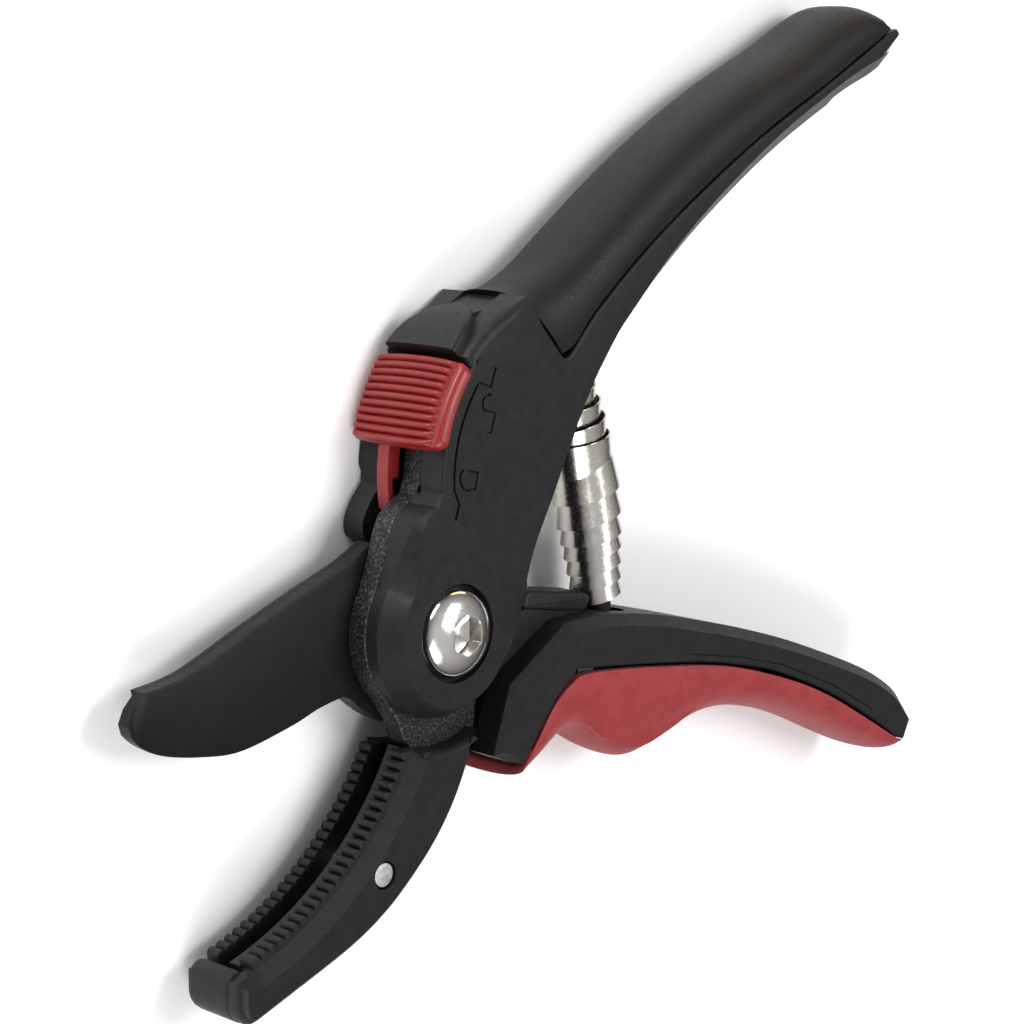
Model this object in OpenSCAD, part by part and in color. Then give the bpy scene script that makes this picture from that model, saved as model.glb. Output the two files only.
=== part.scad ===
/* [Head] */
// Overall thickness of the head
head_t = 19.5; // [19:0.1:20.5]
// Radius of the rounded cheek end round the pivot
cheek_r = 14.2; // [13.5:0.1:14.4]
// Width of the broad bevel on the near cheek
bevel_w = 2.0; // [1:0.1:2.4]
// Height of the broad bevel on the near cheek
bevel_h = 3.6; // [2:0.1:4]

/* [Blade and core plate] */
// Thickness of the cutting blade
blade_t = 3.8; // [3.4:0.1:3.8]
// Thickness of the core plate that carries the lower jaw
plate_t = 3.9; // [3.6:0.1:4.0]
// Gap on each face of the blade
side_gap = 0.2; // [0.1:0.05:0.3]

/* [Pivot] */
// Radius of the bolt shank
shank_r = 4.0; // [3:0.5:4]
// Outer radius of the sleeve that the blade turns on
sleeve_r = 5.5; // [5:0.1:6]
// Radial running clearance between sleeve and blade
running_gap = 0.05; // [0.02:0.01:0.08]
// Radius of the domed bolt head
bolt_head_r = 7.0; // [6.5:0.1:7.2]
// Radius of the recess that the bolt head sits in
recess_r = 8.0; // [7.5:0.1:8.5]
// Width across flats of the hex socket
socket_af = 6.0; // [5:0.5:6]
// Width across flats of the nut
nut_af = 13.0; // [12:0.5:13]

/* [Lower jaw] */
// Number of teeth on each rail of the jaw
tooth_count = 24; // [16:1:28]
// Radius of each rounded tooth
tooth_r = 0.75; // [0.5:0.05:0.9]
// Depth of the channel that the blade closes into
channel_depth = 5.0; // [4:0.5:6]

/* [Lock slider] */
// Width of the slider across the head
slider_w = 20.2; // [19:0.1:20.4]
// Number of grip ridges on the slider
ridge_count = 10; // [7:1:12]

/* [Handles] */
// Thickness of the soft grips
grip_t = 2.2; // [1.5:0.1:2.6]

/* [Volute spring] */
// Largest radius of the spring
spring_r = 5.4; // [4.5:0.1:5.6]

/* [Hidden] */
$fn = 64;

// Levels along the pivot axis, from the face that the pruner lies on.
mid_z = head_t / 2;
blade_z = 5.5;
blade_top = blade_z + blade_t;
plate_z = blade_top + side_gap;
plate_top = plate_z + plate_t;
far_cheek_top = blade_z - side_gap;

bevel_steps = 3;
nut_t = 3.6;
cover_near_top = 16.9;
cover_far_z = 3.6;
far_rail_top = 6.4;
thin_z = far_rail_top + side_gap;
track_wall_z = 14.7;
lip = 1.6;
bolt_seat = head_t - 1.1;
strap_wall = 3.6;

// Places in the plane of the blade, with the pivot axis at the origin.
track_c = [33.4, 0.7];
track_r = 26.3;
dome_r = 28.4;
dome_steps = [[29.3, 2.4], [30.3, 4.2]];
jaw_arc_c = [-34.2, 42.6];
jaw_arc_r = 53.3;
jaw_from = -72;
jaw_to = -119.5;
rivet_at = [-36, -16.5];
cover_root_r = 18.8;
plate_pin_at = [[26, 9], [33, 16]];
blade_pin_at = [[15, -33], [26, -50]];
spring_low = [28.8, -33.5];
spring_high = [51.2, -0.4];
// Angles of the slider's two ends, and the level of its far edge.
slider_from = 93;
slider_to = 124.2;
slider_z = 0.15;
rib_z = 6.7;
rib_t = 2.5;
// Clearance radius of the blade's root, inside the path of the lock slider's tongue.
blade_root_r = 11.4;
// Slot for a wrist strap, between two flanges at the end of the handle.
strap_pts = [[127, -20], [129.6, -14.2], [134, -11.6], [142, -13.2], [152, -17.6], [152, -30], [127, -30]];

// ---- helpers -------------------------------------------------------------

// Points on a circular arc.
function arc(c, r, from, to, steps) =
    [for (i = [0:steps]) let (a = from + (to - from) * i / steps) c + r * [cos(a), sin(a)]];

// One coordinate of a smooth curve through four neighbours.
function bend(a, b, c, d, t) =
    b + 0.5 * t * (c - a + t * (2 * a - 5 * b + 4 * c - d + t * (3 * (b - c) + d - a)));

// A smooth open curve through the points of a list.
function smooth(p, steps = 5) = let (last = len(p) - 1) concat(
    [for (i = [0:last - 1], k = [0:steps - 1])
        bend(p[max(i - 1, 0)], p[i], p[i + 1], p[min(i + 2, last)], k / steps)],
    [p[last]]);

function unit(v) = v / norm(v);
function left(v) = [-v.y, v.x];

// The outline moved inwards by its own distance at each point.
function inset(p, d) = let (n = len(p)) [for (i = [0:n - 1])
    let (e = unit(p[i] - p[(i + n - 1) % n]), f = unit(p[(i + 1) % n] - p[i]),
         m = unit(left(e) + left(f)))
    p[i] + m * min(d[i] / max(0.5, m * left(f)), 2 * d[i])];

module slab(p, z0, z1) translate([0, 0, z0]) linear_extrude(z1 - z0) polygon(p);
module rod(at, r, z0, z1) translate([at.x, at.y, z0]) cylinder(r = r, h = z1 - z0);
module ring(at, r0, r1, z0, z1) difference() {
    rod(at, r1, z0, z1);
    rod(at, r0, z0 - 1, z1 + 1);
}
module sector(c, r0, r1, a0, a1, z0, z1) slab(
    concat(arc(c, r1, a0, a1, 16), arc(c, r0, a1, a0, 16)), z0, z1);

// Puts its children on the spring's line: from its foot, +Z runs to its head.
module on_spring_line() {
    d = spring_high - spring_low;
    translate([spring_low.x, spring_low.y, mid_z]) rotate([0, 90, atan2(d.y, d.x)]) children();
}
spring_len = norm(spring_high - spring_low);

// ---- handle sections -----------------------------------------------------

// Stations of a handle: a point of its outer edge, then the point across from it.
upper_stations = [
    [43, 29.4, 45, 2.6], [51.4, 23.8, 55, 1.8], [59.6, 20.5, 64, 0.6], [71.7, 18.3, 74, -0.6],
    [85.6, 15.7, 86.3, -2.2], [99.5, 12.2, 98.5, -4.6], [114.3, 7.4, 110.6, -7.6],
    [129.2, 1.4, 122.7, -11.4], [140.8, -3.6, 132.5, -15.4], [146.2, -6.8, 139.6, -19.2],
    [148.6, -9.8, 143.4, -20.9], [149.3, -12.8, 146.4, -20.6]
];
lower_stations = [
    [4.4, -19.2, -8, -27.6], [14.5, -22.5, -3, -35.5], [24, -29.5, 6.4, -39.4], [31.6, -39.7, 9.3, -46.8],
    [38, -50, 13.2, -55.2], [44, -60.5, 23.5, -62], [50.5, -73, 33.5, -71.2], [56.8, -87, 41.5, -83.8],
    [61.8, -99, 47.6, -97], [64.5, -108.2, 52, -108.4], [64.8, -113.8, 54.4, -116],
    [63.4, -117.4, 58.2, -118.6]
];
upper_curve = smooth(upper_stations, 3);
lower_curve = smooth(lower_stations, 3);
upper_half_t = head_t / 2;
lower_half_t = head_t / 2 - 0.3;
upper_seam = -0.1;
lower_seam = -0.1;
upper_grip_from = 2;
lower_grip_from = 5;

// Each handle is a stack of flat layers, narrower towards its two faces.
layers = [[-1, -0.9], [-0.9, -0.72], [-0.72, -0.4], [-0.4, 0.4], [0.4, 0.72], [0.72, 0.9], [0.9, 1]];
squareness = 2.8;

// Share of the full width that a rounded section has at a share of its half thickness.
function width_at(share) = pow(1 - pow(min(abs(share), 0.999), squareness), 1 / squareness);
function across(s, x) = let (o = [s[0], s[1]], i = [s[2], s[3]], c = (o + i) / 2) c + unit(o - i) * x;
function half_width(s) = norm([s[0] - s[2], s[1] - s[3]]) / 2;

// Where the soft grip ends and the hard core begins, across one layer.
function grip_floor(s, share, half_t, seam) = let (core_t = half_t - grip_t, z = share * half_t)
    abs(z) < core_t ? (half_width(s) - grip_t) * width_at(z / core_t) : half_width(s) * seam;

// The edges of a layer, as lists of distances across each station of a curve.
function full(curve, share) = [for (s = curve) half_width(s) * width_at(share)];
function floors(curve, share, half_t, seam) = [for (s = curve)
    min(grip_floor(s, share, half_t, seam), half_width(s) * width_at(share) - 0.2)];

module layer(curve, outer, inner, z0, z1) {
    n = len(curve) - 1;
    pts = concat([for (i = [0:n]) across(curve[i], outer[i])], [for (i = [n:-1:0]) across(curve[i], inner[i])]);
    slab(pts, z0, z1);
}

// One handle's solid, or its grip's, flipped where the grip lies on the other edge.
module handle(curve, half_t, seam, part) for (l = layers) {
    share = (l[0] + l[1]) / 2;
    whole = full(curve, share);
    floor_at = floors(curve, share, half_t, seam);
    z0 = mid_z + l[0] * half_t;
    z1 = mid_z + l[1] * half_t;
    if (part == "whole") layer(curve, whole, -whole, z0, z1);
    if (part == "core") layer(curve, floor_at, -whole, z0, z1);
    if (part == "grip") layer(curve, whole, floor_at, z0, z1);
}

function span(list, from, to) = [for (i = [from:to]) list[i]];
function swapped(curve) = [for (s = curve) [s[2], s[3], s[0], s[1]]];

// ---- outlines ------------------------------------------------------------

// The cheek outlines run clockwise from the handle's inner edge, round the pivot, to the dome.
seam_at = upper_curve[upper_grip_from];
ledge = [[2.5, 16.4], [5.6, 18.1], [7.8, 18.7], [9.8, 18.5], [11.6, 17.9]];
hook = [[0, 12.2], [3.4, 11.2], [6, 11.8], [5.6, 13.6], [5.6, 15.4], [7.4, 17.2], [10.4, 18]];
head_low = [[seam_at[2], seam_at[3]], [40, 0.6], [30, -2.4], [21, -5.0], [15.4, -7.6]];
head_end = concat(arc(track_c, track_r, 138, 92.6, 16), arc(track_c, dome_r, 91.6, 70, 8),
    [[seam_at[0], seam_at[1]]]);
near_pts = concat(smooth(head_low, 3), arc([0, 0], cheek_r, -46, -262, 30), smooth(ledge, 3), head_end);
far_pts = concat(smooth(head_low, 3), arc([0, 0], cheek_r, -46, -253, 28), smooth(hook, 3), head_end);

// Broad bevel round the pivot, a narrow one under the handle, and none on the slider's track.
function bevel_at(p) = p.y > 14 ? 0 : p.x > 12 ? 0.6 : bevel_w;

plate_pts = concat(
    arc([0, 0], 14.4, -84, -4, 12), [[20, 2.4], [37, 6.4]], [[38, 19]],
    arc(track_c, 25.3, 97, 134, 8), [[13.2, 17.8], [11.2, 18.4], [8.6, 18.9], [5.9, 18.3], [2.5, 16.6]],
    arc([0, 0], 14.4, 101, 180, 14), [[-15.2, -5], [-16.6, -7.6]],
    arc(jaw_arc_c, jaw_arc_r + 3, jaw_from, jaw_to, 24),
    [[-65.4, -5.2], [-68, -8.4], [-67.2, -10.4], [-59.8, -15]],
    smooth([[-53.8, -18.3], [-40.7, -23.2], [-32.6, -24.6], [-24.5, -24.8], [-17.1, -23.6], [-10.5, -21.4]], 3),
    [[-6, -20.2], [-2.4, -17.4]]);

far_low = smooth([[-66.6, -10.2], [-59.6, -14.3], [-48, -20], [-32.3, -23.7], [-24.2, -24],
    [-16.8, -22.8], [-10, -20.8], [-6.4, -18.6]], 3);
near_low = smooth([[-66.6, -9.6], [-60, -12.6], [-48.5, -18.2], [-33, -21.9], [-25.3, -22.1],
    [-18, -21], [-11, -18.8], [-8.4, -17]], 3);

// The outline of a jaw cover whose top runs a given depth below the tooth line.
function cover_pts(depth, root_to, low) = concat(
    arc([0, 0], cover_root_r, root_to, -153, 10),
    arc(jaw_arc_c, jaw_arc_r + depth, jaw_from, jaw_to, 24), [[-64.3, -2.9], [-67.8, -6.6], [-68.2, -9.2]], low);

// The blade, drawn open. Its cutting edge is the long convex side.
blade_spine = smooth([[4.1, 16.3], [-1.7, 18.3], [-10.7, 22.6], [-21.7, 27.5], [-32.7, 32.3], [-39.5, 37.2]], 4);
blade_edge = smooth([[-45.8, 34.8], [-45.8, 32.2], [-44.5, 28.1], [-40.9, 22.3], [-35.7, 16], [-27.2, 10.2],
    [-21.5, 7.1], [-17.3, 4.2]], 4);
lock_lobe = concat(arc([0, 0], 15.5, 20, 46, 6), arc([0, 0], 11.9, 48, 66, 4));
tang = [[-10.6, -13], [-7.4, -15.2], [-3, -22], [9, -35], [20, -56], [29, -57], [31, -48], [21, -30],
    [14.5, -17], [11.9, -5]];
blade_root = concat(tang, arc([0, 0], blade_root_r, -12, 17, 5));
blade_heel = [[-16.7, 2.4], [-16.4, -1], [-15.5, -5], [-13.8, -9.4]];
blade_pts = concat(lock_lobe, blade_spine, [[-42.7, 37.2], [-44.9, 36.4]], blade_edge, blade_heel, blade_root);
// The full thickness stops short of the cutting edge, which is thinned on its far face.
spine_pts = concat(lock_lobe, blade_spine, smooth([[-40.6, 35.4], [-39.6, 31.6], [-36.4, 26.6], [-31.2, 21],
    [-24.4, 15.6], [-18, 11.6]], 3), arc([0, 0], 17, 153, 171, 4), blade_heel, blade_root);

// The same outline the other way round.
function side(p) = [for (i = [len(p) - 1:-1:0]) p[i]];

// ---- upper lever ---------------------------------------------------------

module head_blank() {
    near = side(near_pts);
    slab(side(far_pts), 0, far_cheek_top);
    slab(near, plate_top, head_t - bevel_h);
    for (i = [0:bevel_steps - 1]) slab(inset(near, [for (p = near) bevel_at(p) * (i + 0.5) / bevel_steps]),
        head_t - bevel_h * (1 - i / bevel_steps), head_t - bevel_h * (1 - (i + 1) / bevel_steps));
    // Web between the cheeks, clear of the blade, the plate and the bumper.
    slab([[24.5, 1.5], [31, 0.6], [54, 3], [53, 17], [46, 21], [42, 27], [36, 25], [31, 23.6], [26.5, 18], [24, 10]],
        far_cheek_top - 0.1, plate_top + 0.1);
    // Dome behind the slider.
    for (d = dome_steps) slab(concat(arc(track_c, 25, 70, 91.6, 6), arc(track_c, d[0], 91.6, 70, 8)),
        d[1], head_t - d[1]);
}

module upper_handle_body() color([0.06, 0.06, 0.065]) difference() {
    union() {
        head_blank();
        handle(span(upper_curve, upper_grip_from, len(upper_curve) - 1), upper_half_t, upper_seam, "core");
    }
    handle(span(upper_curve, upper_grip_from, len(upper_curve) - 1), upper_half_t, upper_seam, "grip");
    slab(side(plate_pts), plate_z, plate_top);
    sector(track_c, 25.2, 28, 96, 140, plate_top - 0.1, track_wall_z);
    slab(strap_pts, strap_wall, head_t - strap_wall);
    rod([0, 0], shank_r, -1, head_t + 1);
    rod([0, 0], recess_r, head_t - 1.5, head_t + 1);
    rod([0, 0], 9, far_cheek_top - 0.4, far_cheek_top + 1);
    translate([0, 0, -1]) cylinder(d = nut_af / cos(30), h = nut_t + 1, $fn = 6);
    for (p = plate_pin_at) rod(p, 2, 1.2, head_t - 2);
    translate([34.2, 24.2, blade_z]) cube([1.2, 1.4, blade_t]);
    on_spring_line() translate([0, 0, spring_len - 1]) cylinder(r = 6.4, h = 4);
}

module upper_handle_grip() color([0.09, 0.09, 0.095])
    handle(span(upper_curve, upper_grip_from, len(upper_curve) - 1), upper_half_t, upper_seam, "grip");

module core_plate() color([0.25, 0.25, 0.25]) difference() {
    slab(side(plate_pts), plate_z, plate_top);
    rod([0, 0], sleeve_r, 0, head_t);
    rod(rivet_at, 2, 0, head_t);
    for (p = plate_pin_at) rod(p, 2, 0, head_t);
}

module plate_pins() color([0.6, 0.6, 0.6]) for (p = plate_pin_at) rod(p, 2, 1.2, head_t - 2);

module teeth(depth, z0, z1) for (i = [0:tooth_count - 1]) {
    a = jaw_from - 0.8 + (jaw_to - jaw_from + 1.6) * i / (tooth_count - 1);
    rod(jaw_arc_c + (jaw_arc_r + depth) * [cos(a), sin(a)], tooth_r, z0, z1);
}

module jaw_cover_near() color([0.08, 0.08, 0.085]) difference() {
    union() {
        slab(side(cover_pts(0.5, -108, near_low)), plate_top, cover_near_top);
        slab(side(cover_pts(0.5, -108, far_low)), plate_top, plate_top + 1.2);
        teeth(0.3, plate_top - lip, cover_near_top - 1.5);
        // Lip over the top edge of the plate, with a plain ledge beside the channel.
        slab(concat(arc(jaw_arc_c, jaw_arc_r + 0.5, jaw_to, jaw_from, 24),
            arc(jaw_arc_c, jaw_arc_r + 3, jaw_from, jaw_to, 24)), plate_top - lip, plate_top);
        slab(concat(arc(jaw_arc_c, jaw_arc_r + 1.2, jaw_to, jaw_from, 24),
            arc(jaw_arc_c, jaw_arc_r + 3, jaw_from, jaw_to, 24)), plate_z, plate_top);
    }
    rod(rivet_at, 2, 0, head_t);
}

module jaw_cover_far() color([0.08, 0.08, 0.085]) difference() {
    union() {
        slab(side(cover_pts(1.6, -118, far_low)), cover_far_z, far_rail_top);
        slab(side(cover_pts(channel_depth, -118, far_low)), far_rail_top, plate_z);
        slab([[-64.3, -2.9], [-67.8, -6.6], [-68.2, -9.2], [-64, -9], [-62.4, -4.4]], far_rail_top, plate_z);
        teeth(1.4, cover_far_z, far_rail_top);
    }
    rod(rivet_at, 2, 0, head_t);
}

module jaw_rivet() color([0.8, 0.8, 0.8]) rod(rivet_at, 2, cover_far_z, cover_near_top + 0.1);

// ---- pivot ---------------------------------------------------------------

module pivot_bolt() color([0.8, 0.78, 0.75]) difference() {
    union() {
        rod([0, 0], shank_r, 0.8, bolt_seat);
        translate([0, 0, bolt_seat]) rotate_extrude() polygon(concat([[0, 0], [bolt_head_r, 0]],
            [for (i = [0:10]) let (a = 90 * i / 10) [bolt_head_r * cos(a), 0.6 + 3.0 * sin(a)]]));
    }
    translate([0, 0, bolt_seat + 0.6]) cylinder(d = socket_af / cos(30), h = 6, $fn = 6);
}

module bolt_washer() color([0.7, 0.7, 0.7]) ring([0, 0], shank_r, bolt_head_r, head_t - 1.5, bolt_seat);

module pivot_sleeve() color([0.65, 0.6, 0.5])
    ring([0, 0], shank_r, sleeve_r, far_cheek_top - 0.4, plate_top);

module thrust_washer() color([0.75, 0.62, 0.35])
    ring([0, 0], sleeve_r, 9, far_cheek_top - 0.4, far_cheek_top + 0.1);

module pivot_nut() color([0.7, 0.7, 0.7]) difference() {
    cylinder(d = nut_af / cos(30), h = nut_t, $fn = 6);
    rod([0, 0], shank_r, 0.8, 5);
}

// ---- lower lever ---------------------------------------------------------

block_pts = concat(arc([0, 0], 15.2, -83, -56, 6), [[15.2, -15.8], [24.4, -28.9], [24, -34], [4, -30]]);
bumper_pts = [[16.6, -15.2], [17.6, -15.3], [26.2, -27.8], [26, -29], [24.4, -28.9], [15.2, -15.8]];

module tang_room() slab(blade_pts, blade_z, blade_top);

module lower_handle_body() color([0.06, 0.06, 0.065]) difference() {
    union() {
        handle(lower_curve, lower_half_t, lower_seam, "whole");
        slab(block_pts, blade_z + 0.1, plate_top - side_gap);
    }
    lower_handle_grip();
    tang_room();
    for (p = blade_pin_at) rod(p, 2, 3.2, head_t - 3.2);
    on_spring_line() translate([0, 0, -1]) cylinder(r = 4.6, h = 5);
}

module lower_handle_grip() color([0.55, 0.05, 0.05])
    handle(swapped(span(lower_curve, lower_grip_from, len(lower_curve) - 1)), lower_half_t, lower_seam, "grip");

module cutting_blade() color([0.05, 0.05, 0.055]) difference() {
    union() {
        slab(blade_pts, thin_z, blade_top);
        slab(spine_pts, blade_z, thin_z);
    }
    rod([0, 0], sleeve_r + running_gap, 0, head_t);
    for (p = blade_pin_at) rod(p, 2, 0, head_t);
}

module blade_pins() color([0.6, 0.6, 0.6]) for (p = blade_pin_at) rod(p, 2, 3.2, head_t - 3.2);

module closing_bumper() color([0.12, 0.12, 0.12]) slab(side(bumper_pts), blade_z + 0.2, plate_top - 0.4);

// ---- spring --------------------------------------------------------------

module lower_spring_seat() color([0.2, 0.2, 0.2]) on_spring_line() translate([0, 0, -1])
    cylinder(r = 2.4, h = 4);

module upper_spring_seat() color([0.2, 0.2, 0.2]) on_spring_line()
    translate([0, 0, spring_len - 2]) cylinder(r = 2.4, h = 5);

module volute_spring() color([0.75, 0.73, 0.7]) on_spring_line() rotate_extrude() polygon([
    [2.7, 0], [3.9, 0], [4.2, spring_len * 0.3], [spring_r, spring_len * 0.55], [spring_r, spring_len * 0.7],
    [4.4, spring_len], [2.7, spring_len]]);

// ---- lock ----------------------------------------------------------------

module lock_slider() color([0.6, 0.06, 0.06]) {
    z0 = slider_z;
    z1 = slider_z + slider_w;
    sector(track_c, track_r + 0.3, 28.2, slider_from, slider_to, z0, z1);
    sector(track_c, 27, 29.1, slider_from, slider_to, z0 + 1, z1 - 2.2);
    for (i = [0:ridge_count - 1]) {
        a = slider_from + 1.6 + (slider_to - slider_from - 3.2) * i / (ridge_count - 1);
        rod(track_c + 29.1 * [cos(a), sin(a)], 0.62, z0 + 1, z1 - 2.2);
    }
    // Rib in the track, and the tongue that drops behind the blade's lobe.
    sector(track_c, 25.9, 28.4, slider_from + 1, 135, rib_z, rib_z + rib_t);
    sector(track_c, 27.2, 28.4, 134.9, 145, rib_z, rib_z + rib_t);
}

module detent_spring() color([0.7, 0.7, 0.7]) translate([34.3, 24.3, blade_z + 0.2])
    cube([1.0, 1.2, blade_t - 0.4]);

upper_handle_body();
upper_handle_grip();
core_plate();
plate_pins();
jaw_cover_near();
jaw_cover_far();
jaw_rivet();
pivot_bolt();
bolt_washer();
pivot_sleeve();
thrust_washer();
pivot_nut();
upper_spring_seat();
detent_spring();
lower_handle_body();
lower_handle_grip();
cutting_blade();
blade_pins();
closing_bumper();
lower_spring_seat();
volute_spring();
lock_slider();
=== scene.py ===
"""Bypass pruner: the visible pieces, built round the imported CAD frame.

Shapes are drawn in millimetres in the frame's own axes: the blade turns in the XY plane, +Z comes out of
the bolt head, and the origin is on the pivot axis. put() turns them into metres.
"""
import math

import bmesh
import bpy
import numpy as np
from mathutils import Matrix, Vector


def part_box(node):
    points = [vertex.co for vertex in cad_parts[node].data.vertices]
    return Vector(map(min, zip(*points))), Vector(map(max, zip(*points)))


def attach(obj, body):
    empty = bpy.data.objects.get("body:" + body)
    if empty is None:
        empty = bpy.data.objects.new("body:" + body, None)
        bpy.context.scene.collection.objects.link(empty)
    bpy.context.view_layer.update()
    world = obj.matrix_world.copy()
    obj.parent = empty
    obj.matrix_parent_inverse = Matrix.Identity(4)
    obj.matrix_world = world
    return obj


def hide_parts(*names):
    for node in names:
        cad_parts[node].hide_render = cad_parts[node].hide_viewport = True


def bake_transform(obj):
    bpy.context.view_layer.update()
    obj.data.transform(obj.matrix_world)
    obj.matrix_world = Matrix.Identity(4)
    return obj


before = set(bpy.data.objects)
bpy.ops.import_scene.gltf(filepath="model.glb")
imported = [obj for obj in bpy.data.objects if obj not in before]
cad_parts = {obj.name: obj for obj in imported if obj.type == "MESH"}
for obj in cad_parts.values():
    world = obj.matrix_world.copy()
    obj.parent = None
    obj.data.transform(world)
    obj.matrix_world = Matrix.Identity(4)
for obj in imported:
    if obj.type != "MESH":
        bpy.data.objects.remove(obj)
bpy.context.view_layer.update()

MM = 0.001
FIXED, MOVING, LOCK = "fixed_lever", "moving_lever", "lock"

# Levels along the pivot axis, from the CAD frame.
plate_low, plate_high = (p.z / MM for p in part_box("core_plate"))
blade_low, blade_high = (p.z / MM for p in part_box("cutting_blade"))
head_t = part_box("upper_handle_body")[1].z / MM
cover_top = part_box("jaw_cover_near")[1].z / MM
cover_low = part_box("jaw_cover_far")[0].z / MM
low_bottom, low_top = (p.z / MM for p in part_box("lower_handle_body"))
mid_z = head_t / 2
far_cheek_top = blade_low - 0.2
blade_thin = blade_low + 1.1

# Centres of the two arcs that the head and the jaw are drawn round.
track_c = (33.4, 0.7)
jaw_c = (-34.2, 42.6)
jaw_r = 53.3
jaw_from, jaw_to = -72, -119.5


# ---- shape helpers ---------------------------------------------------------

def arc(c, r, a0, a1, n):
    """n + 1 points on an arc, from angle a0 to a1 in degrees."""
    return [(c[0] + r * math.cos(math.radians(a)), c[1] + r * math.sin(math.radians(a)))
            for a in np.linspace(a0, a1, n + 1)]


def smooth(points, steps=6):
    """A Catmull-Rom curve through points of any dimension."""
    p = [np.array(q, float) for q in points]
    out = []
    for i in range(len(p) - 1):
        a, b, c, d = p[max(i - 1, 0)], p[i], p[i + 1], p[min(i + 2, len(p) - 1)]
        for t in np.arange(steps) / steps:
            out.append(b + 0.5 * t * (c - a + t * (2 * a - 5 * b + 4 * c - d + t * (3 * (b - c) + d - a))))
    return [tuple(q) for q in out + [p[-1]]]


def rounded(points, radius, steps=4):
    """A closed outline with each sharp corner turned into a small curve."""
    p = [np.array(q, float) for q in points]
    out = []
    for i, b in enumerate(p):
        a, c = p[i - 1], p[(i + 1) % len(p)]
        u, v = (a - b), (c - b)
        lu, lv = np.linalg.norm(u), np.linalg.norm(v)
        if np.dot(u, v) / (lu * lv) < -0.9:
            out.append(tuple(b))
            continue
        s, e = b + u * min(radius / lu, 0.45), b + v * min(radius / lv, 0.45)
        for t in np.linspace(0, 1, steps + 1):
            out.append(tuple((1 - t) ** 2 * s + 2 * t * (1 - t) * b + t * t * e))
    return out


def rounded_open(points, radius):
    """rounded() for a line whose two ends stay where they are."""
    out = [points[0]]
    for a, b, c in zip(points, points[1:], points[2:]):
        a, b, c = np.array(a), np.array(b), np.array(c)
        s = b + (a - b) * min(radius / np.linalg.norm(a - b), 0.45)
        e = b + (c - b) * min(radius / np.linalg.norm(c - b), 0.45)
        out += [tuple((1 - t) ** 2 * s + 2 * t * (1 - t) * b + t * t * e) for t in np.linspace(0, 1, 5)]
    return out + [points[-1]]


def counter_clockwise(outline):
    p = np.array(outline)
    q = np.roll(p, -1, 0)
    area = (p[:, 0] * q[:, 1] - q[:, 0] * p[:, 1]).sum()
    return list(outline) if area > 0 else list(outline)[::-1]


def inset(p, amount):
    """A counter-clockwise outline moved inwards, by one amount or one for each point."""
    prev, nxt = np.roll(p, 1, 0), np.roll(p, -1, 0)
    e = (p - prev) / np.linalg.norm(p - prev, axis=1)[:, None]
    f = (nxt - p) / np.linalg.norm(nxt - p, axis=1)[:, None]
    left_e, left_f = np.stack([-e[:, 1], e[:, 0]], 1), np.stack([-f[:, 1], f[:, 0]], 1)
    m = left_e + left_f
    m /= np.linalg.norm(m, axis=1)[:, None]
    reach = np.maximum(0.55, (m * left_f).sum(1))
    return p + m * (np.broadcast_to(amount, len(p)) / reach)[:, None]


def on(point, curve):
    """Whether an outline's point is one of a curve's own points."""
    return min(math.dist(point, q) for q in curve) < 0.05


def edge_rings(p, edge):
    """Rings from the wall to the face of an edge, as (outline, drop from the face) pairs.

    edge is the size of a round edge, or a function from a point to (width, height, roundness), where a
    roundness of 0 is a flat chamfer.
    """
    size = np.array([edge(q) for q in p] if callable(edge) else [(edge, edge, 1)] * len(p), float)
    width, height, roundness = size.T
    steps = 1 if roundness.max() == 0 or width.max() == 0 else 5
    rings = []
    for t in np.linspace(0, 1, steps + 1):
        a = t * math.pi / 2
        inwards = t + (1 - math.cos(a) - t) * roundness
        upwards = t + (math.sin(a) - t) * roundness
        rings.append((inset(p, width * inwards), height * (1 - upwards)))
    return rings


def slab(outline, z0, z1, low=0.0, top=0.0):
    """A closed plate with its own edges round the low face and the top face."""
    p = np.array(counter_clockwise(outline), float)
    p = p[np.linalg.norm(p - np.roll(p, 1, 0), axis=1) > 1e-4]
    rings = [(xy, z0 + drop) for xy, drop in reversed(edge_rings(p, low))]
    rings += [(xy, z1 - drop) for xy, drop in edge_rings(p, top)]
    kept = []
    for xy, z in rings:
        ring = np.column_stack([xy, np.broadcast_to(z, len(p))])
        if not kept or np.abs(ring - kept[-1]).max() > 1e-6:
            kept.append(ring)
    return loft(kept)


def skin(rings, count):
    """Faces between rings of the same number of points, with both ends closed."""
    faces = []
    for ring in range(rings - 1):
        low, high = ring * count, (ring + 1) * count
        for i in range(count):
            after = (i + 1) % count
            faces.append((low + i, low + after, high + after, high + i))
    faces.append(tuple(range(count))[::-1])
    faces.append(tuple((rings - 1) * count + i for i in range(count)))
    return faces


def loft(rings):
    """A closed solid through a list of rings of points."""
    verts = [tuple(v) for ring in rings for v in ring]
    return verts, skin(len(rings), len(rings[0]))


def lathe(profile, at=(0, 0), count=96):
    """A solid of revolution about a vertical line, through (radius, z) pairs."""
    rings = [[(x, y, z) for x, y in arc(at, r, 0, 360 - 360 / count, count - 1)] for r, z in profile]
    return loft(rings)


def wire(points, width, z0, z1):
    """A thin wall that follows a line, used to cut a groove."""
    p = [np.array(q, float) for q in points]
    left, right = [], []
    for i, q in enumerate(p):
        d = p[min(i + 1, len(p) - 1)] - p[max(i - 1, 0)]
        n = np.array([-d[1], d[0]]) / np.linalg.norm(d) * width / 2
        left.append(tuple(q + n))
        right.append(tuple(q - n))
    return slab(left + right[::-1], z0, z1)


# ---- objects ---------------------------------------------------------------

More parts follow.
